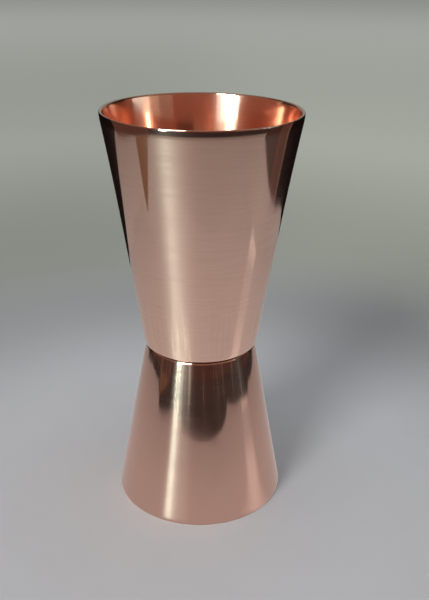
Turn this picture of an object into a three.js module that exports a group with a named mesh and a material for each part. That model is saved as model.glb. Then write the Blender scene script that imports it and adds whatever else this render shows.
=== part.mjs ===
// Double-ended bar jigger: a large measuring cup above a small one. Each cup is drawn from a
// single copper sheet, so its cone and its floor are one piece, and the two cups are brazed
// floor to floor at the waist. Millimetres, +Z up through the large cup's mouth. The origin is
// the centre of the small cup's rim, which the jigger stands on.

import * as THREE from 'three';

// Driving dimensions

const HEIGHT = 102; // from rim to rim
const WAIST_HEIGHT = 43; // underside of the large cup's floor
const WAIST_GAP = 0.3; // groove between the outer rings of the two floors

const LARGE_MOUTH_RADIUS = 24.1; // outside of the wall, at the rim
const LARGE_FLOOR_RADIUS = 14.55; // outside of the wall, at the underside of the floor
const LARGE_FLARE = 0.4; // how far the rim stands out from the straight cone
const SMALL_MOUTH_RADIUS = 22;
const SMALL_FLOOR_RADIUS = 14.05;
const FLARE_START = 0.6; // where a flared wall leaves the straight cone, as a share of the depth

const WALL = 0.9; // sheet thickness, square to the cone
const FLOOR = 1;
const RIM_ROUND = 0.3; // both edges of a rim, which leaves a flat land between them
const OUTER_CORNER = 0.6; // where the cone turns into the floor, outside
const INNER_CORNER = 1.5; // and inside

// Each floor is dished towards the inside of its cup, which leaves a pocket for the braze metal.
const POCKET_RADIUS = 9.5;
const POCKET_DEPTH = 0.35;
const BRAZE_CLEARANCE = 0.3; // around the braze disc, on all its sides

// Fineness of the faceted solids

const FACETS = 72; // around the axis
const ARC_STEPS = 3; // along each rounded corner
const FLARE_STEPS = 4; // up a flared wall

// Points on an arc from one angle to another, both in degrees, with both ends.
function arc(centreX, centreY, radius, fromAngle, toAngle) {
  const points = [];
  for (let step = 0; step <= ARC_STEPS; step += 1) {
    const angle = THREE.MathUtils.degToRad(THREE.MathUtils.lerp(fromAngle, toAngle, step / ARC_STEPS));
    const x = centreX + radius * Math.cos(angle);
    const y = centreY + radius * Math.sin(angle);
    points.push(new THREE.Vector2(x, y));
  }
  return points;
}

// Revolves a profile of (radius, height) points and stands its axis along +Z.
function revolve(profile) {
  return new THREE.LatheGeometry(profile, FACETS).rotateX(Math.PI / 2);
}

// A cup standing on its floor: the profile runs from the axis, under the floor, up the outside,
// over the rim, down the inside and back to the axis. The wall is a straight cone, and with a
// flare it curves out towards the rim.
function cupGeometry(mouthRadius, floorRadius, depth, flare) {
  const lean = Math.atan2(mouthRadius - flare - floorRadius, depth);
  const leanDegrees = THREE.MathUtils.radToDeg(lean);
  const floorTop = POCKET_DEPTH + FLOOR;
  const rimHeight = depth - RIM_ROUND;

  const flareAt = (height) => flare * Math.max(0, (height / depth - FLARE_START) / (1 - FLARE_START)) ** 2;

  // Radius at a height, at a distance in from the outer face of the wall.
  const within = (distance, height) =>
    floorRadius + flareAt(height) + (height * Math.sin(lean) - distance) / Math.cos(lean);

  const bends = [];
  for (let step = 0; flare > 0 && step < FLARE_STEPS; step += 1) {
    bends.push(depth * THREE.MathUtils.lerp(FLARE_START, 1, step / FLARE_STEPS));
  }
  const outerBends = bends.map((height) => new THREE.Vector2(within(0, height), height));
  const innerBends = bends.map((height) => new THREE.Vector2(within(WALL, height), height));

  const cornerHeight = floorTop + INNER_CORNER;
  return revolve([
    new THREE.Vector2(0, POCKET_DEPTH),
    new THREE.Vector2(POCKET_RADIUS - POCKET_DEPTH, POCKET_DEPTH),
    new THREE.Vector2(POCKET_RADIUS, 0),
    ...arc(within(OUTER_CORNER, OUTER_CORNER), OUTER_CORNER, OUTER_CORNER, -90, -leanDegrees),
    ...outerBends,
    ...arc(within(RIM_ROUND, rimHeight), rimHeight, RIM_ROUND, -leanDegrees, 90),
    ...arc(within(WALL - RIM_ROUND, rimHeight), rimHeight, RIM_ROUND, 90, 180 - leanDegrees),
    ...innerBends.reverse(),
    ...arc(within(WALL + INNER_CORNER, cornerHeight), cornerHeight, INNER_CORNER, -leanDegrees, -90),
    new THREE.Vector2(0, floorTop),
  ]);
}

function copper(color, roughness) {
  return new THREE.MeshStandardMaterial({ color, roughness, metalness: 1 });
}

// The large cup stands mouth up on the waist.
function makeLargeCup() {
  const depth = HEIGHT - WAIST_HEIGHT;
  const geometry = cupGeometry(LARGE_MOUTH_RADIUS, LARGE_FLOOR_RADIUS, depth, LARGE_FLARE);
  const cup = new THREE.Mesh(geometry, copper(0xc48672, 0.18));
  cup.name = 'large_cup';
  cup.position.z = WAIST_HEIGHT;
  return cup;
}

// The small cup hangs mouth down below the groove, and its rim is the foot of the jigger.
function makeSmallCup() {
  const depth = WAIST_HEIGHT - WAIST_GAP;
  const geometry = cupGeometry(SMALL_MOUTH_RADIUS, SMALL_FLOOR_RADIUS, depth, 0);
  const cup = new THREE.Mesh(geometry, copper(0xbf7f6c, 0.2));
  cup.name = 'small_cup';
  cup.rotation.x = Math.PI;
  cup.position.z = depth;
  return cup;
}

// The braze metal fills the pocket between the two dished floors and holds the cups together.
function makeBrazeJoint() {
  const thickness = WAIST_GAP + 2 * POCKET_DEPTH - 2 * BRAZE_CLEARANCE;
  const radius = POCKET_RADIUS - POCKET_DEPTH - BRAZE_CLEARANCE;
  const geometry = revolve([
    new THREE.Vector2(0, -thickness / 2),
    new THREE.Vector2(radius, -thickness / 2),
    new THREE.Vector2(radius, thickness / 2),
    new THREE.Vector2(0, thickness / 2),
  ]);
  const disc = new THREE.Mesh(geometry, copper(0xa8906a, 0.5));
  disc.name = 'braze_joint';
  disc.position.z = WAIST_HEIGHT - WAIST_GAP / 2;
  return disc;
}

const jigger = new THREE.Group();
jigger.add(makeLargeCup());
jigger.add(makeSmallCup());
jigger.add(makeBrazeJoint());

export default jigger;
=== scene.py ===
"""Looks for a double-ended copper bar jigger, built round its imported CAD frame.

Everything is in metres, in the CAD frame: the jigger stands on its small cup's rim at z = 0,
and the camera looks along +Y.
"""

import math

import bpy
from mathutils import Matrix, Vector, noise


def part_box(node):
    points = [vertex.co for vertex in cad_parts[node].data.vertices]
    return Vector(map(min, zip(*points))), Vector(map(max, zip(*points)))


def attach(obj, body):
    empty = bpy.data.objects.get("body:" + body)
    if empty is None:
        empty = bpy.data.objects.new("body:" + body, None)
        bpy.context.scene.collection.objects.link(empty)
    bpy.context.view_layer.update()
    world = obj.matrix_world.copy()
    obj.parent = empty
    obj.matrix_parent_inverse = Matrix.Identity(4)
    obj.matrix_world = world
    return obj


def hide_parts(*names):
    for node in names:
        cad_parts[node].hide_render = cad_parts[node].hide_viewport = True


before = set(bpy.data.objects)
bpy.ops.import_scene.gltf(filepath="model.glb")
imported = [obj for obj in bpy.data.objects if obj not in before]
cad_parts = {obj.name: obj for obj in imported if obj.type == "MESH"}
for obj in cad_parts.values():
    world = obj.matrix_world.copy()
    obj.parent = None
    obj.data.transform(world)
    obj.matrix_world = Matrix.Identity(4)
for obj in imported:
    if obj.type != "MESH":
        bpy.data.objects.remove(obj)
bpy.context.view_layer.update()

MM = 0.001

# ---------------------------------------------------------------- sizes

LARGE_LOW, LARGE_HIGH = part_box("large_cup")
SMALL_LOW, SMALL_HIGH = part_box("small_cup")
BRAZE_LOW, BRAZE_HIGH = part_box("braze_joint")

HEIGHT = LARGE_HIGH.z
WAIST = (LARGE_LOW.z + SMALL_HIGH.z) / 2

WALL = 0.9 * MM
FLOOR = 1.0 * MM
OUTER_CORNER = 0.7 * MM  # where a cone turns into its floor, outside
INNER_CORNER = 1.5 * MM  # and inside
POCKET_RADIUS = 9.5 * MM  # the dish of each floor, which holds the braze metal
POCKET_DEPTH = 0.35 * MM

LARGE_FLOOR_RADIUS = 14.55 * MM
SMALL_FLOOR_RADIUS = 14.05 * MM
LARGE_FLARE = 0.4 * MM  # how far the large mouth stands out from the straight cone
FLARE_START = 0.6  # where the flare starts, as a share of the depth
SHOULDER = 0.12 * MM  # how far the small cup is drawn in at the waist
SHOULDER_DEPTH = 5 * MM

LIP_ROUND = 0.3 * MM  # how far the outside of a lip turns in
LARGE_ROLL = 2.2 * MM  # and how far down the wall it starts to
SMALL_ROLL = 1.1 * MM
INNER_ROUND = 0.5 * MM  # the inner edge of a rim

BRAZE_SKIRT = 0.1 * MM  # half the thickness of the braze metal in the groove
BRAZE_STEP = 0.2 * MM  # how wide the slope is from the disc to the skirt
BRAZE_SHORT = 0.8 * MM  # how far inside the small cup's floor the skirt ends

OUT_OF_TRUE = 0.02 * MM  # how far the metal stands in from its box, on average
WAVE = 0.012 * MM
WAVE_TURN = 1.4  # how fast it changes round the axis
WAVE_RISE = 14  # and per metre of height
FLUTES = 0.016 * MM
FLUTES_TURN = 22
FLUTES_RISE = 12
FLUTES_FADE = 5 * MM  # how far below the waist they die away

SEGMENTS = 288
WALL_STEP = 1.0 * MM
ARC_STEPS = 10

DOWN = -math.pi / 2


# ---------------------------------------------------------------- mesh code


def arc(centre, across, up, start, end, steps=ARC_STEPS):
    """Points on an elliptical arc from one angle to another, in radians, with both ends."""
    angles = [start + (end - start) * i / steps for i in range(steps + 1)]
    return [(centre[0] + across * math.cos(a), centre[1] + up * math.sin(a)) for a in angles]


def steps_between(low, high, step):
    """Evenly spaced values strictly between low and high, at most step apart."""
    n = max(1, math.ceil(abs(high - low) / step))
    return [low + (high - low) * i / n for i in range(1, n)]


def cup_profile(mouth, floor, depth, roll, flare, shoulder):
    """(radius, height) round the section of a cup that stands on its floor.

    It runs from the axis under the floor, up the outside, over the rim, down the inside and back
    to the axis. roll is how far down the outside the lip starts to turn in, flare turns the wall
    out near the mouth, and shoulder draws it in near the floor.
    """
    lean = math.atan2(mouth - flare - floor, depth)
    floor_top = POCKET_DEPTH + FLOOR

    def face(height):
        turned_out = flare * max(0.0, (height / depth - FLARE_START) / (1 - FLARE_START)) ** 2
        drawn_in = shoulder * max(0.0, 1 - height / SHOULDER_DEPTH) ** 2
        return floor + height * math.tan(lean) + turned_out - drawn_in

    def within(distance, height):
        return face(height) - distance / math.cos(lean)

    def corner(distance, height, radius, start, end):
        return arc((within(distance, height), height), radius, radius, start, end)

    rim = depth - INNER_ROUND
    bend = floor_top + INNER_CORNER
    foot = corner(OUTER_CORNER, OUTER_CORNER, OUTER_CORNER, DOWN, -lean)
    turns = arc((0.0, depth - roll), LIP_ROUND, roll, 0.0, -DOWN)
    outer_lip = [(face(height) - LIP_ROUND + across, height) for across, height in turns]
    inner_lip = corner(WALL - INNER_ROUND, rim, INNER_ROUND, -DOWN, math.pi - lean)
    inside = corner(WALL + INNER_CORNER, bend, INNER_CORNER, -lean, DOWN)
    outer_heights = steps_between(foot[-1][1], outer_lip[0][1], WALL_STEP)
    inner_heights = steps_between(inner_lip[-1][1], inside[0][1], WALL_STEP)

    points = [(0.0, POCKET_DEPTH), (POCKET_RADIUS - POCKET_DEPTH, POCKET_DEPTH)]
    points += [(POCKET_RADIUS, 0.0)] + foot
    points += [(face(height), height) for height in outer_heights]
    points += outer_lip + inner_lip
    points += [(within(WALL, height), height) for height in inner_heights]
    points += inside
    points += [(r, floor_top) for r in steps_between(inside[-1][0], 0.0, WALL_STEP)]
    return points + [(0.0, floor_top)]


def ring_faces(low, high):
    """Faces between two rings of vertex numbers, either of which may be one point on the axis."""
    faces = []
    for k in range(SEGMENTS):
        n = (k + 1) % SEGMENTS
        corners = [low[k % len(low)], low[n % len(low)]]
        corners += [high[n % len(high)], high[k % len(high)]]
        face = list(dict.fromkeys(corners))
        if len(face) > 2:
            faces.append(face)
    return faces


def revolved(name, profile, place, ripple):
    """A closed smooth mesh: the profile turned round Z.

    place moves a point's height to the frame, and ripple(angle, z) is how far the metal stands in
    from true round.
    """
    verts = []
    rings = []
    for radius, height in profile:
        z = place(height)
        if radius == 0.0:
            rings.append([len(verts)])
            verts.append((0.0, 0.0, z))
            continue
        rings.append(list(range(len(verts), len(verts) + SEGMENTS)))
        for k in range(SEGMENTS):
            a = math.tau * k / SEGMENTS
            r = radius - ripple(a, z)
            verts.append((r * math.cos(a), r * math.sin(a), z))
    faces = [face for low, high in zip(rings, rings[1:]) for face in ring_faces(low, high)]
    mesh = bpy.data.meshes.new(name)
    mesh.from_pydata(verts, [], faces)
    mesh.update()
    if place(1.0) < place(0.0):
        mesh.flip_normals()
    mesh.polygons.foreach_set("use_smooth", [True] * len(mesh.polygons))
    piece = bpy.data.objects.new(name, mesh)
    bpy.context.scene.collection.objects.link(piece)
    return piece


def hand_ripple(angle, z):
    """How far the polished metal stands in from true round.

    The cups are taken to be polished by hand on a lathe, a few hundredths of a millimetre out of
    true, and most so just below the waist.
    """
    c = math.cos(angle)
    s = math.sin(angle)
    wave = noise.noise(Vector((c * WAVE_TURN, s * WAVE_TURN, z * WAVE_RISE)))
    flutes = noise.noise(Vector((c * FLUTES_TURN, s * FLUTES_TURN, z * FLUTES_RISE)))
    near_waist = math.exp((z - WAIST) / FLUTES_FADE) if z < WAIST else 0.0
    return OUT_OF_TRUE + wave * WAVE + flutes * FLUTES * near_waist


def cup_from_box(name, low, high, floor_radius, upside_down, roll, flare, shoulder):
    """A cup that fills the box of its CAD node.

    Its mouth is widened until the widest ring reaches the box.
    """
    depth = high.z - low.z
    profile = cup_profile(high.x, floor_radius, depth, roll, flare, shoulder)
    short = high.x - max(radius for radius, height in profile)
    profile = cup_profile(high.x + short, floor_radius, depth, roll, flare, shoulder)
    place = (lambda h: high.z - h) if upside_down else (lambda h: low.z + h)
    return revolved(name, profile, place, hand_ripple)


def make_large_cup():
    return cup_from_box(
        "large_cup_shell",
        LARGE_LOW,
        LARGE_HIGH,
        LARGE_FLOOR_RADIUS,
        upside_down=False,
        roll=LARGE_ROLL,
        flare=LARGE_FLARE,
        shoulder=0.0,
    )


def make_small_cup():
    return cup_from_box(
        "small_cup_shell",
        SMALL_LOW,
        SMALL_HIGH,
        SMALL_FLOOR_RADIUS,
        upside_down=True,
        roll=SMALL_ROLL,
        flare=0.0,
        shoulder=SHOULDER,
    )


def make_braze():
    """The braze metal: a disc in the pocket between the floors, with a skirt in the groove."""
    middle = (BRAZE_LOW.z + BRAZE_HIGH.z) / 2
    half = (BRAZE_HIGH.z - BRAZE_LOW.z) / 2
    reach = SMALL_FLOOR_RADIUS - BRAZE_SHORT
    neck = BRAZE_HIGH.x + BRAZE_STEP
    radii = steps_between(neck, reach, WALL_STEP)
    profile = [(0.0, -half), (BRAZE_HIGH.x, -half), (neck, -BRAZE_SKIRT)]
    profile += [(r, -BRAZE_SKIRT) for r in radii]
    profile += arc((reach, 0.0), BRAZE_SKIRT, BRAZE_SKIRT, DOWN, -DOWN)
    profile += [(r, BRAZE_SKIRT) for r in reversed(radii)]
    profile += [(neck, BRAZE_SKIRT), (BRAZE_HIGH.x, half), (0.0, half)]
    return revolved("braze_bead", profile, lambda h: middle + h, lambda angle, z: 0.0)


# ---------------------------------------------------------------- node helpers


class Nodes:
    """Short calls for building one node tree."""

    def __init__(self, tree):
        self.tree = tree
        tree.nodes.clear()

    def add(self, kind, **settings):
        node = self.tree.nodes.new(kind)
        for key, value in settings.items():
            setattr(node, key, value)
        return node

    def feed(self, socket, value):
        if isinstance(value, bpy.types.NodeSocket):
            self.tree.links.new(value, socket)
        else:
            socket.default_value = value

    def maths(self, operation, *values):
        node = self.add("ShaderNodeMath", operation=operation)
        for socket, value in zip(node.inputs, values):
            self.feed(socket, value)
        return node.outputs[0]

    def sum(self, first, *others):
        for other in others:
            first = self.maths("ADD", first, other)
        return first

    def times(self, a, b):
        return self.maths("MULTIPLY", a, b)

    def gap(self, a, b):
        """How far apart two values are."""
        return self.maths("ABSOLUTE", self.maths("SUBTRACT", a, b))

    def split(self, vector):
        node = self.add("ShaderNodeSeparateXYZ")
        self.feed(node.inputs[0], vector)
        return node.outputs[0], node.outputs[1], node.outputs[2]

    def vector(self, x, y, z):
        node = self.add("ShaderNodeCombineXYZ")
        for socket, value in zip(node.inputs, (x, y, z)):
            self.feed(socket, value)
        return node.outputs[0]

    def length(self, vector):
        node = self.add("ShaderNodeVectorMath", operation="LENGTH")
        self.feed(node.inputs[0], vector)
        return node.outputs["Value"]

    def noise(self, vector, scale=1.0, detail=2.0, roughness=0.5, distortion=0.0):
        node = self.add("ShaderNodeTexNoise")
        self.feed(node.inputs["Vector"], vector)
        node.inputs["Scale"].default_value = scale
        node.inputs["Detail"].default_value = detail
        node.inputs["Roughness"].default_value = roughness
        node.inputs["Distortion"].default_value = distortion
        return node.outputs["Fac"]

    def remap(self, value, low, high, to_low=0.0, to_high=1.0, smooth=True):
        kind = "SMOOTHSTEP" if smooth else "LINEAR"
        node = self.add("ShaderNodeMapRange", interpolation_type=kind)
        for socket, v in zip(node.inputs, (value, low, high, to_low, to_high)):
            self.feed(socket, v)
        return node.outputs[0]

    def blend(self, factor, a, b):
        node = self.add("ShaderNodeMix", data_type="RGBA")
        self.feed(node.inputs["Factor"], factor)
        self.feed(node.inputs[6], a)
        self.feed(node.inputs[7], b)
        return node.outputs[2]

    def tint(self, tone, mask, share, towards):
        """The tone, with a share of another one where the mask is."""
        return self.blend(self.times(mask, share), tone, towards)

    def bump(self, height, distance):
        node = self.add("ShaderNodeBump")
        node.inputs["Strength"].default_value = 1.0
        node.inputs["Distance"].default_value = distance
        self.feed(node.inputs["Height"], height)
        return node.outputs[0]

    def output(self, kind, shader):
        node = self.add(kind)
        self.feed(node.inputs[0], shader)


def rgb(r, g, b):
    return (r, g, b, 1.0)


def new_material(name):
    mat = bpy.data.materials.new(name)
    mat.use_nodes = True
    return mat, Nodes(mat.node_tree)


# ---------------------------------------------------------------- copper

# Noises: how fast each changes round the cup and per metre along its wall, then its detail and
# roughness
FINE_LINES = (3.0, 6500.0, 3.0, 0.7)
COARSE_LINES = (1.4, 1300.0, 2.0, 0.6)
BANDS = (0.8, 160.0, 3.0, 0.6)
STREAKS = (13.0, 25.0, 3.0, 0.65)

# Ranges of a noise that a mask is made of
SMUDGE_RANGE = (0.50, 0.68)
LINES_RANGE = (0.36, 0.64)
STREAKS_RANGE = (0.45, 0.75)

# Masks: the distance where each one starts, and where it is full
INNER_MASK = (WALL * 0.55, WALL * 0.95)  # in from the outer face
EDGE_MASK = (0.50 * MM, 0.12 * MM)  # from the rim
LIP_MASK = (1.15, 0.6)  # from the rim, as a share of the lip's roll
GROOVE_SHADE_MASK = (0.34 * MM, 0.20 * MM)  # from the waist
WAIST_MASK = (24 * MM, 0.0)

# Tints: how much of another tone a mask brings, and that tone
SMUDGE_SHARE = 0.25
INSIDE_TINT = (0.85, rgb(0.90, 0.43, 0.29))  # redder, from reflecting itself
LINES_TINT = (0.12, rgb(0.72, 0.42, 0.33))
# painted shade: the rim's lip is darkened, so that it shows little of the windows in its reflection
RIM_SHADE_TINT = (0.60, rgb(0.66, 0.40, 0.31))
# painted shade: the copper turns almost black in the narrow groove where the cups meet
GROOVE_SHADE_TINT = (0.9, rgb(0.06, 0.03, 0.025))
HAZE_TONE = rgb(0.95, 0.70, 0.56)
HAZE_INSIDE_SHARE = 0.9
# painted shade: the haze is darkened at the rim's lip as well
HAZE_RIM_SHADE_TINT = (0.9, rgb(0.20, 0.11, 0.085))

SPIN_BUMP = 0.0000012  # height of the spin lines, in metres
FINE_HEIGHT = 0.6
COARSE_HEIGHT = 0.4
ALONG_WALL = 0.25  # anisotropic rotation that smears reflections along the wall

# Roughness of the sharp lobe, and what each mark adds to it
SHARP_ROUGHNESS = 0.028
SMUDGE_ROUGHNESS = 0.03
COARSE_ROUGHNESS = 0.02
INNER_ROUGHNESS = 0.02
EDGE_ROUGHNESS = 0.10
INSIDE_HAZE_ROUGHNESS = 0.28

# What each mark adds to the share of the haze, and what a lip leaves of it
LINES_HAZE = 0.16
STREAKS_HAZE = 0.20
INSIDE_HAZE = 0.42
HAZE_AT_LIP = 0.2


class CupSkin:
    """The noises and masks that one cup's copper is made of."""

    def __init__(self, n, wall_line, rim_height, roll):
        """wall_line is (radius, height, slope) of the outer face, and tells inside from outside."""
        place = n.add("ShaderNodeTexCoord").outputs["Object"]
        x, y, z = n.split(place)
        radius = n.maths("SQRT", n.sum(n.times(x, x), n.times(y, y)))
        off_axis = n.maths("MAXIMUM", radius, 1e-5)
        self.cos = n.maths("DIVIDE", x, off_axis)
        self.sin = n.maths("DIVIDE", y, off_axis)
        self.along = n.sum(z, radius)
        self.make_noises(n, place)
        self.make_masks(n, radius, z, wall_line, rim_height, roll)

    def spun(self, n, turn, per_metre, detail, roughness):
        """A noise that changes slowly round the cup and fast along its wall."""
        round_x = n.times(self.cos, turn)
        round_y = n.times(self.sin, turn)
        place = n.vector(round_x, round_y, n.times(self.along, per_metre))
        return n.noise(place, detail=detail, roughness=roughness)

    def make_noises(self, n, place):
        fine = self.spun(n, *FINE_LINES)
        self.coarse = self.spun(n, *COARSE_LINES)
        self.bands = self.spun(n, *BANDS)
        self.streaks = n.remap(self.spun(n, *STREAKS), *STREAKS_RANGE)
        smudge = n.noise(place, scale=70.0, detail=4.0, roughness=0.6, distortion=0.6)
        self.smudge = n.remap(smudge, *SMUDGE_RANGE)
        self.lines = n.times(n.sum(fine, self.coarse), 0.5)
        self.height = n.sum(n.times(fine, FINE_HEIGHT), n.times(self.coarse, COARSE_HEIGHT))

    def make_masks(self, n, radius, z, wall_line, rim_height, roll):
        face_radius, face_height, slope = wall_line
        up = n.maths("SUBTRACT", z, face_height)
        face = n.sum(n.times(up, slope), face_radius)
        depth = n.maths("SUBTRACT", face, radius)
        self.inner = n.remap(depth, *INNER_MASK)
        self.outer = n.maths("SUBTRACT", 1.0, self.inner)
        from_rim = n.gap(z, rim_height)
        self.edge = n.remap(from_rim, *EDGE_MASK)
        lip_start, lip_full = LIP_MASK
        self.lip = n.times(n.remap(from_rim, roll * lip_start, roll * lip_full), self.outer)
        from_waist = n.gap(z, WAIST)
        self.groove = n.remap(from_waist, *GROOVE_SHADE_MASK)
        self.near_waist = n.remap(from_waist, *WAIST_MASK)


def copper_tone(n, skin, tones):
    """tones are the two that spin bands mix, and the one in its smudges: the metal's own, or for
    the small cup darker copies with painted shade. On top come a painted reflection inside, and
    painted shade at the rim and in the groove at the waist.
    """
    tone = n.blend(skin.bands, tones[0], tones[1])
    tone = n.tint(tone, skin.smudge, SMUDGE_SHARE, tones[2])
    tone = n.tint(tone, skin.inner, *INSIDE_TINT)
    tone = n.tint(tone, n.remap(skin.lines, *LINES_RANGE), *LINES_TINT)
    # painted shade at the rim
    tone = n.tint(tone, skin.edge, *RIM_SHADE_TINT)
    # painted shade in the groove at the waist
    return n.tint(tone, skin.groove, *GROOVE_SHADE_TINT)


def metal_lobe(n, tone, roughness, grain):
    """A metal shader whose highlights are drawn out along the wall."""
    shader = n.add("ShaderNodeBsdfPrincipled")
    tangent = n.add("ShaderNodeTangent", direction_type="RADIAL", axis="Z")
    n.feed(shader.inputs["Base Color"], tone)
    n.feed(shader.inputs["Roughness"], roughness)
    n.feed(shader.inputs["Tangent"], tangent.outputs[0])
    shader.inputs["Metallic"].default_value = 1.0
    shader.inputs["Anisotropic"].default_value = grain
    shader.inputs["Anisotropic Rotation"].default_value = ALONG_WALL
    return shader


def sharp_lobe(n, skin, tone):
    """The mirror-like part of the polish, with the spin lines as a fine bump."""
    roughness = n.sum(
        n.times(skin.smudge, SMUDGE_ROUGHNESS),
        n.times(skin.coarse, COARSE_ROUGHNESS),
        n.times(skin.inner, INNER_ROUGHNESS),
        n.times(skin.edge, EDGE_ROUGHNESS),
        SHARP_ROUGHNESS,
    )
    shader = metal_lobe(n, tone, roughness, grain=1.0)
    n.feed(shader.inputs["Normal"], n.bump(skin.height, SPIN_BUMP))
    return shader.outputs[0]


def haze_lobe(n, skin, tone, roughness, grain):
    """The haze that the polishing lines leave, which spreads a window into a long band."""
    pale = n.tint(HAZE_TONE, skin.inner, HAZE_INSIDE_SHARE, tone)
    # painted shade on the haze at the rim
    pale = n.tint(pale, skin.edge, *HAZE_RIM_SHADE_TINT)
    spread = n.remap(skin.inner, 0.0, 1.0, roughness, INSIDE_HAZE_ROUGHNESS)
    return metal_lobe(n, pale, spread, grain).outputs[0]


def share_of_haze(n, skin, base):
    """How much of the polish is haze: more inside and in streaks near the waist, less at a lip."""
    streaks = n.times(skin.streaks, n.times(skin.near_waist, skin.outer))
    share = n.sum(
        n.times(skin.lines, LINES_HAZE),
        base,
        n.times(streaks, STREAKS_HAZE),
        n.times(skin.inner, INSIDE_HAZE),
    )
    return n.times(share, n.remap(skin.lip, 0.0, 1.0, 1.0, HAZE_AT_LIP, smooth=False))


def copper(name, tones, wall_line, rim_height, roll, haze_base, haze_roughness, haze_grain):
    """Polished copper with fine spin lines round the axis: a sharp lobe mixed with a hazy one."""
    mat, n = new_material(name)
    skin = CupSkin(n, wall_line, rim_height, roll)
    tone = copper_tone(n, skin, tones)
    mix = n.add("ShaderNodeMixShader")
    n.feed(mix.inputs[0], share_of_haze(n, skin, haze_base))
    n.feed(mix.inputs[1], sharp_lobe(n, skin, tone))
    n.feed(mix.inputs[2], haze_lobe(n, skin, tone, haze_roughness, haze_grain))
    n.output("ShaderNodeOutputMaterial", mix.outputs[0])
    return mat


def line_between(low_radius, high_radius, low, high):
    """(radius, height, slope) of a cup's outer face, from its radii at the two heights."""
    return low_radius, low, (high_radius - low_radius) / (high - low)


def large_copper():
    return copper(
        "copper_large",
        (rgb(0.937, 0.600, 0.485), rgb(0.955, 0.625, 0.51), rgb(0.88, 0.57, 0.47)),
        line_between(LARGE_FLOOR_RADIUS, LARGE_HIGH.x, LARGE_LOW.z, LARGE_HIGH.z),
        LARGE_HIGH.z,
        LARGE_ROLL,
        haze_base=0.033,
        haze_roughness=0.50,
        haze_grain=0.93,
    )


def shaded_small_copper():
    return copper(
        "copper_small",
        # painted shade: the same copper as the large cup's, made darker, so that the small cup's
        # reflections come out darker
        (rgb(0.700, 0.405, 0.325), rgb(0.720, 0.425, 0.345), rgb(0.670, 0.390, 0.315)),
        line_between(SMALL_HIGH.x, SMALL_FLOOR_RADIUS, SMALL_LOW.z, SMALL_HIGH.z),
        SMALL_LOW.z,
        SMALL_ROLL,
        haze_base=0.008,
        haze_roughness=0.32,
        haze_grain=1.0,
    )


BRAZE_DARK = rgb(0.10, 0.045, 0.03)
BRAZE_PALE = rgb(0.30, 0.16, 0.10)
BRAZE_BUMP = 0.04 * MM
BRAZE_ROUGHNESS = (0.3, 0.7, 0.35, 0.6)  # from and to in the grain, and the roughness at each


def braze_metal():
    """Dull, grainy metal, as it set after melting."""
    mat, n = new_material("braze_metal")
    place = n.add("ShaderNodeTexCoord").outputs["Object"]
    grain = n.noise(place, scale=900.0, detail=4.0, roughness=0.65)
    tone = n.blend(grain, BRAZE_DARK, BRAZE_PALE)
    shader = n.add("ShaderNodeBsdfPrincipled")
    n.feed(shader.inputs["Base Color"], tone)
    n.feed(shader.inputs["Roughness"], n.remap(grain, *BRAZE_ROUGHNESS))
    n.feed(shader.inputs["Normal"], n.bump(grain, BRAZE_BUMP))
    shader.inputs["Metallic"].default_value = 1.0
    n.output("ShaderNodeOutputMaterial", shader.outputs[0])
    return mat


# ---------------------------------------------------------------- stage materials

NEAR_PAPER = (rgb(0.525, 0.53, 0.55), rgb(0.555, 0.56, 0.58))

# Rings round the jigger where the floor turns to another tone: from and to, in metres, then the
# tone, or the tones on the left and on the right. They stand in for the photo's uneven daylight.
PAPER_RINGS = (
    (0.06, 0.13, rgb(0.375, 0.382, 0.39)),
    (0.12, 0.19, rgb(0.355, 0.37, 0.325), rgb(0.425, 0.445, 0.39)),
    (0.19, 0.45, rgb(0.53, 0.55, 0.49), rgb(0.61, 0.635, 0.56)),
    (0.5, 1.6, rgb(0.98, 1.0, 0.91)),
)
PAPER_ROUGHNESS = 0.55
PAPER_TURN = 0.10  # how far to each side the left tone gives way to the right one

# The lit table: from and to, in metres from the axis, and the value at each
TABLE_GLOW = (0.040, 0.130, 0.50, 0.368)
TABLE_LOSS = (0.130, 0.215, 0.0, 0.150)
TABLE_COLOUR = rgb(1.0, 0.99, 0.98)

# The pool of light on it, in the same way, along x
POOL_HALF_WIDTH = (0.018, 0.110, 0.003, 0.016)
POOL_GLOW = (0.012, 0.018, 0.0, 0.26)
POOL_FADE = (0.090, 0.045, 0.20, 1.0)
POOL_RETURN = (0.110, 0.128, 0.0, 0.7)
POOL_OFFSET = 0.0155  # how far in front of the X axis it lies
POOL_SLANT = 0.045
POOL_SOFT = 0.004  # half the width of its soft border


def paper():
    """The pale matt surface that the jigger stands on."""
    mat, n = new_material("paper")
    place = n.add("ShaderNodeTexCoord").outputs["Object"]
    away = n.length(place)
    side = n.remap(n.split(place)[0], -PAPER_TURN, PAPER_TURN)
    tone = n.blend(n.noise(place, scale=60.0, detail=3.0), *NEAR_PAPER)
    for start, end, *tones in PAPER_RINGS:
        ring = tones[0] if len(tones) == 1 else n.blend(side, *tones)
        tone = n.blend(n.remap(away, start, end), tone, ring)
    shader = n.add("ShaderNodeBsdfPrincipled")
    n.feed(shader.inputs["Base Color"], tone)
    shader.inputs["Roughness"].default_value = PAPER_ROUGHNESS
    shader.inputs["Specular IOR Level"].default_value = 0.0  # or the paper mirrors the cards
    n.output("ShaderNodeOutputMaterial", shader.outputs[0])
    return mat


def glow(name, colour, strength=1.0):
    mat, n = new_material(name)
    light = n.add("ShaderNodeEmission")
    light.inputs["Color"].default_value = rgb(*colour)
    light.inputs["Strength"].default_value = strength
    n.output("ShaderNodeOutputMaterial", light.outputs[0])
    return mat


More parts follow.
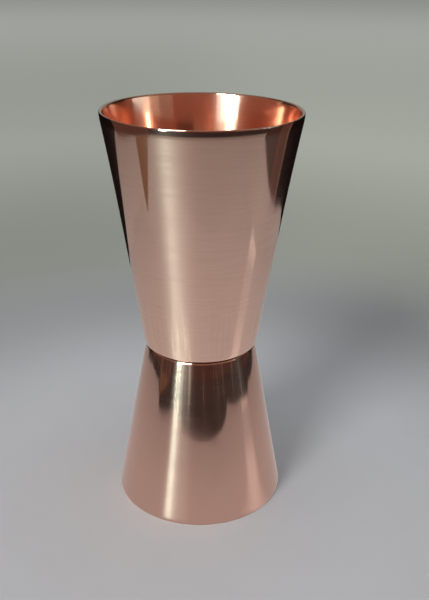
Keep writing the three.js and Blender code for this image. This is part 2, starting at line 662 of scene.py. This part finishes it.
def pool_of_light(n, x, y):
    """A bright strip of the table that runs away to the right of the jigger and widens."""
    middle = n.sum(y, POOL_OFFSET, n.times(x, POOL_SLANT))
    across = n.maths("ABSOLUTE", middle)
    half_width = n.remap(x, *POOL_HALF_WIDTH, smooth=False)
    past_edge = n.maths("SUBTRACT", across, half_width)
    strip = n.remap(past_edge, POOL_SOFT, -POOL_SOFT)
    fade = n.sum(n.remap(x, *POOL_FADE), n.remap(x, *POOL_RETURN))
    return n.times(n.times(strip, n.remap(x, *POOL_GLOW)), fade)


def lit_table():
    """The table top as the metal reflects it: brightest round the jigger, darker away from it."""
    mat, n = new_material("lit_table")
    place = n.add("ShaderNodeTexCoord").outputs["Object"]
    away = n.length(place)
    near = n.remap(away, *TABLE_GLOW, smooth=False)
    loss = n.remap(away, *TABLE_LOSS, smooth=False)
    x, y, z = n.split(place)
    light = n.add("ShaderNodeEmission")
    light.inputs["Color"].default_value = TABLE_COLOUR
    strength = n.sum(n.maths("SUBTRACT", near, loss), pool_of_light(n, x, y))
    n.feed(light.inputs["Strength"], strength)
    n.output("ShaderNodeOutputMaterial", light.outputs[0])
    return mat


# ---------------------------------------------------------------- stage
#
# Polished copper shows little but its surroundings, so the room of the photo is there as cards
# that only show in reflections: a lit table, dark boards round it, and windows further off.

FLOOR_REACH = 3.0
ROOM_RADIUS = 1.6  # from the jigger to the windows
WALL_HEIGHT = 0.4
FLAG_HEIGHT = 0.35
BOARD_RIGHT_HEIGHT = 0.12
BOARD_LEFT_HEIGHT = 0.08
CARD_LIFT = 0.1 * MM  # keeps a card on the table from lying in the same plane

# Outlines on the floor, (x, y) in millimetres
TABLE_OUTLINE = (
    (-110, 138), (-119, 71), (-159, 38), (-161, -30), (-139, -39), (-121, -43), (-117, -63),
    (-117, -111), (-83, -141), (-61, -128), (-33, -132), (12, -127), (41, -120), (78, -111),
    (105, -111), (130, -120), (139, -44), (128, -1), (135, 17), (121, 45), (110, 71), (110, 138),
)
AMBER_OUTLINE = ((-144, -43), (-160, -41), (-203, -45), (-198, -106), (-175, -112), (-158, -72))
BOARD_LEFT_LINE = (
    (-185, -125), (-200, -108), (-206, -45), (-213, -29), (-220, -3), (-229, 42), (-236, 80),
    (-247, 92),
)
FLAG_LEFT_LINE = ((-247, 92), (-222, 110), (-190, 121), (-105, 123), (-60, 141))
FLAG_RIGHT_LINE = ((168, 66), (157, 117), (138, 155), (100, 175), (60, 175))
WALL_LINE = ((-60, 141), (60, 141))
DARK_RIGHT_LINE = ((196, -56), (180, 12))
BOARD_RIGHT_LINE = ((180, 12), (170, 58))
TRIM_RIGHT_LINE = ((170, 58), (168, 66))

BLACK = (0.006, 0.004, 0.004)
BROWN = (0.081, 0.044, 0.036)
UMBER = (0.045, 0.024, 0.018)
TRIM = (0.13, 0.10, 0.085)
AMBER = (0.15, 0.085, 0.045)
WALL_TONE = (0.32, 0.34, 0.30)

DAYLIGHT = (0.80, 1.0, 0.95)
SKY = (0.55, 0.82, 1.0)

# Glows of the windows: colour and strength
WINDOW_GLOWS = {
    "bright": ((0.77, 1.0, 0.98), 122.0),
    "soft": (DAYLIGHT, 6.0),
    "upper": (DAYLIGHT, 60.0),
    "pale": (SKY, 1.3),
    "clear": (SKY, 2.8),
    "high": ((1.0, 0.96, 0.86), 18.0),
    "side": ((0.68, 0.84, 1.0), 4.5),
    "inside": ((0.75, 0.97, 1.0), 1.4),
    "peach": ((1.0, 0.95, 0.80), 0.55),
    "dim": ((1.0, 0.80, 0.68), 0.34),
}

# Windows of the room: glow, first and last azimuth in degrees, and lowest and highest point
WINDOWS = {
    "window_main": ("bright", -135.6, -143.1, 0.02, 0.22),
    "window_middle": ("soft", -135, -142.5, 0.22, 0.62),
    "window_upper": ("upper", -138, -147, 0.62, 1.1),
    "window_next": ("pale", -143.1, -150, 0.02, 0.62),
    "window_clear": ("clear", -150, -158, 0.16, 0.62),
    "window_last": ("pale", -158, -163, 0.16, 0.62),
    "window_high": ("high", -143, -160, 1.1, 2.2),
    "window_dim": ("dim", 124, 142, 0.24, 0.6),
    "window_right": ("side", 93, 104, 0.06, 0.24),
    "window_right_top": ("inside", 86, 111, 0.24, 0.60),
    "window_right_edge": ("peach", 111, 124, 0.24, 0.60),
    "window_left": ("peach", -66, -61, 0.0, 0.4),
}


def plane(name, corners, material):
    """A flat sheet through the given corners."""
    mesh = bpy.data.meshes.new(name)
    mesh.from_pydata([tuple(c) for c in corners], [], [list(range(len(corners)))])
    mesh.update()
    sheet = bpy.data.objects.new(name, mesh)
    bpy.context.scene.collection.objects.link(sheet)
    mesh.materials.append(material)
    return sheet


def reflected(name, corners, material):
    """A sheet that shows in the metal's reflections and nowhere else."""
    sheet = plane(name, corners, material)
    sheet.visible_camera = False
    sheet.visible_diffuse = False
    sheet.visible_shadow = False
    sheet.visible_transmission = False
    sheet.visible_volume_scatter = False


def on_floor(places, lift=0.0):
    """Points of the floor, from (x, y) in millimetres."""
    return [Vector((x * MM, y * MM, lift)) for x, y in places]


def at(azimuth, distance):
    """A point of the floor at a compass direction: azimuth 0 is +Y and 90 is +X."""
    a = math.radians(azimuth)
    return Vector((math.sin(a) * distance, math.cos(a) * distance, 0))


def screen(name, places, low, high, material):
    """A folding screen of upright cards through the given points of the floor."""
    bottom = Vector((0, 0, low))
    top = Vector((0, 0, high))
    for i, (start, end) in enumerate(zip(places, places[1:])):
        corners = [start + bottom, end + bottom, end + top, start + top]
        reflected(f"{name}_{i}", corners, material)


def make_floor():
    r = FLOOR_REACH
    floor = plane("floor", [(-r, -r, 0), (r, -r, 0), (r, r, 0), (-r, r, 0)], paper())
    floor.visible_glossy = False
    reflected("table", on_floor(TABLE_OUTLINE), lit_table())


def make_boards():
    """The wall behind the jigger, and the dark things round the edge of the table."""
    black = glow("black_velvet", BLACK)
    brown = glow("brown_board", BROWN)
    umber = glow("umber_board", UMBER)
    trim = glow("board_trim", TRIM)
    wall = glow("wall_tone", WALL_TONE)
    screen("wall", on_floor(WALL_LINE), 0.0, WALL_HEIGHT, wall)
    screen("flag_left", on_floor(FLAG_LEFT_LINE), 0.0, FLAG_HEIGHT, black)
    screen("flag_right", on_floor(FLAG_RIGHT_LINE), 0.0, FLAG_HEIGHT, black)
    screen("board_right_dark", on_floor(DARK_RIGHT_LINE), 0.0, BOARD_RIGHT_HEIGHT, umber)
    screen("board_right", on_floor(BOARD_RIGHT_LINE), 0.0, BOARD_RIGHT_HEIGHT, brown)
    screen("trim_right", on_floor(TRIM_RIGHT_LINE), 0.0, BOARD_RIGHT_HEIGHT, trim)
    screen("board_left", on_floor(BOARD_LEFT_LINE), 0.0, BOARD_LEFT_HEIGHT, brown)
    reflected("board_amber", on_floor(AMBER_OUTLINE, CARD_LIFT), glow("amber_board", AMBER))


def make_windows():
    glows = {
        kind: glow(f"window_{kind}", colour, strength)
        for kind, (colour, strength) in WINDOW_GLOWS.items()
    }
    for name, (kind, first, last, low, high) in WINDOWS.items():
        ends = [at(first, ROOM_RADIUS), at(last, ROOM_RADIUS)]
        screen(name, ends, low, high, glows[kind])


# ---------------------------------------------------------------- lights and world

LIGHT_TARGET = Vector((0, 0, 0.05))
LIGHT_DISTANCE = 1.6
KEY_COLOUR = (1.0, 0.99, 0.98)
OVERHEAD_COLOUR = (0.98, 1.0, 1.0)

# Reflected room: the ground beyond the table, then what is seen at growing heights. A height is
# the z of a direction. The ground's edge drops towards the camera.
GROUND_TILT = 0.126
GROUND_FADE = (-0.50, -0.41)
GROUND_EDGE = (-0.38, -0.34)
GROUND_NEAR = rgb(0.355, 0.352, 0.348)
GROUND_FAR = rgb(0.20, 0.185, 0.175)
UNDER_TABLE = rgb(0.030, 0.022, 0.022)
ROOM_TONES = (
    (-0.16, -0.10, rgb(0.060, 0.026, 0.020)),
    (0.0, 0.06, rgb(0.27, 0.120, 0.085)),
    (0.25, 0.6, rgb(0.28, 0.18, 0.15)),
)
AMBIENT = rgb(0.20, 0.204, 0.21)
BACKDROP = rgb(0.34, 0.36, 0.31)


def soft_light(name, azimuth, elevation, size, power, colour):
    """A big soft light that faces the jigger and doesn't show in the metal."""
    data = bpy.data.lights.new(name, "AREA")
    data.shape = "DISK"
    data.size = size
    data.energy = power
    data.color = colour
    light = bpy.data.objects.new(name, data)
    bpy.context.scene.collection.objects.link(light)
    up = math.radians(elevation)
    out = at(azimuth, math.cos(up)) + Vector((0, 0, math.sin(up)))
    light.location = LIGHT_TARGET + out * LIGHT_DISTANCE
    light.rotation_euler = out.to_track_quat("Z", "Y").to_euler()
    light.visible_camera = False
    light.visible_glossy = False


def make_lights():
    soft_light("key", azimuth=-146, elevation=33, size=0.62, power=14.2, colour=KEY_COLOUR)
    soft_light("overhead", azimuth=60, elevation=80, size=1.4, power=8.2, colour=OVERHEAD_COLOUR)


def make_world():
    """A plain backdrop for the camera, an even fill, and the rest of the room in reflections."""
    world = bpy.data.worlds.new("room")
    bpy.context.scene.world = world
    world.use_nodes = True
    n = Nodes(world.node_tree)
    x, y, up = n.split(n.add("ShaderNodeTexCoord").outputs["Generated"])
    tilted = n.maths("SUBTRACT", up, n.times(y, GROUND_TILT))
    room = n.blend(n.remap(tilted, *GROUND_FADE, smooth=False), GROUND_NEAR, GROUND_FAR)
    room = n.blend(n.remap(tilted, *GROUND_EDGE), room, UNDER_TABLE)
    for low, high, tone in ROOM_TONES:
        room = n.blend(n.remap(up, low, high), room, tone)
    rays = n.add("ShaderNodeLightPath")
    colour = n.blend(rays.outputs["Is Glossy Ray"], AMBIENT, room)
    colour = n.blend(rays.outputs["Is Camera Ray"], colour, BACKDROP)
    back = n.add("ShaderNodeBackground")
    n.feed(back.inputs[0], colour)
    n.output("ShaderNodeOutputWorld", back.outputs[0])


# ---------------------------------------------------------------- camera

CAMERA_PLACE = Vector((0.0319, -1.9133, 1.3543)) * HEIGHT
CAMERA_PITCH = math.radians(23.395)
CAMERA_YAW = math.radians(0.067)
CAMERA_ROLL = math.radians(0.793)
IMAGE_HEIGHT = 600
FOCAL_PIXELS = 831.4
SENSOR = 36.0
NEAREST = 0.01
FARTHEST = 20.0


def make_camera():
    """The viewpoint of the photo, fitted to the outlines of the rims, the waist and the walls."""
    data = bpy.data.cameras.new("camera")
    data.sensor_width = SENSOR
    data.lens = FOCAL_PIXELS / IMAGE_HEIGHT * SENSOR
    data.clip_start = NEAREST
    data.clip_end = FARTHEST
    camera = bpy.data.objects.new("camera", data)
    bpy.context.scene.collection.objects.link(camera)
    yaw = Matrix.Rotation(-CAMERA_YAW, 4, "Z")
    pitch = Matrix.Rotation(math.pi / 2 - CAMERA_PITCH, 4, "X")
    roll = Matrix.Rotation(CAMERA_ROLL, 4, "Z")
    camera.matrix_world = Matrix.Translation(CAMERA_PLACE) @ yaw @ pitch @ roll
    bpy.context.scene.camera = camera


# ---------------------------------------------------------------- the scene

make_camera()

large = make_large_cup()
large.data.materials.append(large_copper())
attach(large, "root")
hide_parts("large_cup")

small = make_small_cup()
small.data.materials.append(shaded_small_copper())
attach(small, "root")
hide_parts("small_cup")

braze = make_braze()
braze.data.materials.append(braze_metal())
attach(braze, "root")
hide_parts("braze_joint")

make_floor()
make_boards()
make_windows()
make_lights()
make_world()
bpy.context.scene.view_settings.view_transform = "Standard"
